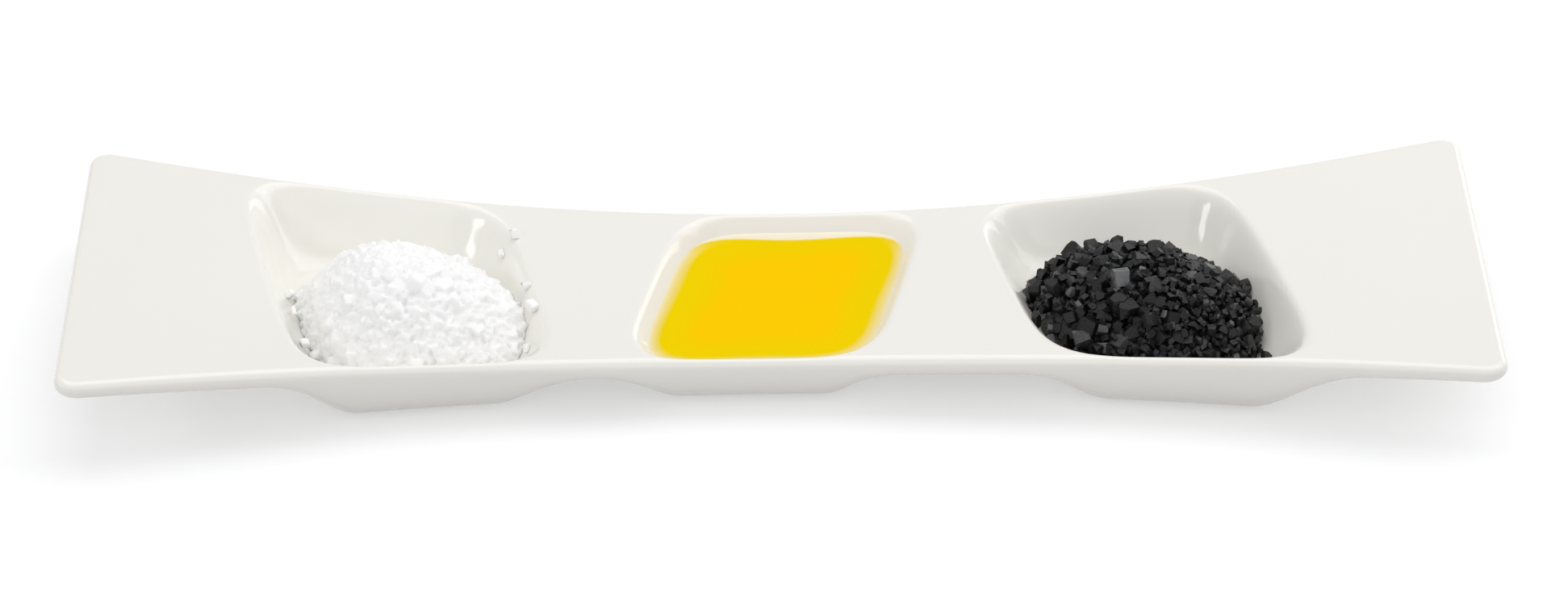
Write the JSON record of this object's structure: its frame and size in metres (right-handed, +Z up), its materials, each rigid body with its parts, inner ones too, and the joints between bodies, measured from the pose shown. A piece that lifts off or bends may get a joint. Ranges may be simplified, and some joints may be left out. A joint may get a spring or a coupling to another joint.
{
  "type": "cocktail plate",
  "caption": "Long porcelain serving plate, waisted, with raised flared ends and slanted wells on rounded feet, serving coarse white salt, golden oil and coarse black salt.",
  "frame": {"origin": "on the table, under the middle of the plate's length and width", "axes": "+X along the plate, from the white salt towards the black salt; +Y towards the far edge; +Z up"},
  "size_m": [0.32, 0.0968, 0.026],
  "materials": {
    "porcelain": "glossy warm white glaze",
    "white_salt": "clear to milky coarse crystals",
    "oil": "still, glossy liquid surface",
    "black_salt": "dull black crystals with glinting facets"
  },
  "bodies": {
    "plate": {"plate": "porcelain"},
    "white_salt": {"white_salt_heap": "white_salt", "white_grain_1": "white_salt", "white_grain_2": "white_salt", "white_grain_3": "white_salt", "white_grain_4": "white_salt", "white_grain_5": "white_salt", "white_grain_6": "white_salt", "white_grain_7": "white_salt", "white_grain_8": "white_salt", "white_grain_9": "white_salt"},
    "oil": {"oil_pool": "oil"},
    "black_salt": {"black_salt_heap": "black_salt", "black_grain_1": "black_salt", "black_grain_2": "black_salt", "black_grain_3": "black_salt", "black_grain_4": "black_salt", "black_grain_5": "black_salt", "black_grain_6": "black_salt"}
  },
  "joints": [
    {"name": "white_salt_lift", "type": "slide", "parent": "plate", "child": "white_salt", "axis": [0, 0, 1], "range_m": [0, 0.05]},
    {"name": "oil_lift", "type": "slide", "parent": "plate", "child": "oil", "axis": [0, 0, 1], "range_m": [0, 0.05]},
    {"name": "black_salt_lift", "type": "slide", "parent": "plate", "child": "black_salt", "axis": [0, 0, 1], "range_m": [0, 0.05]}
  ]
}
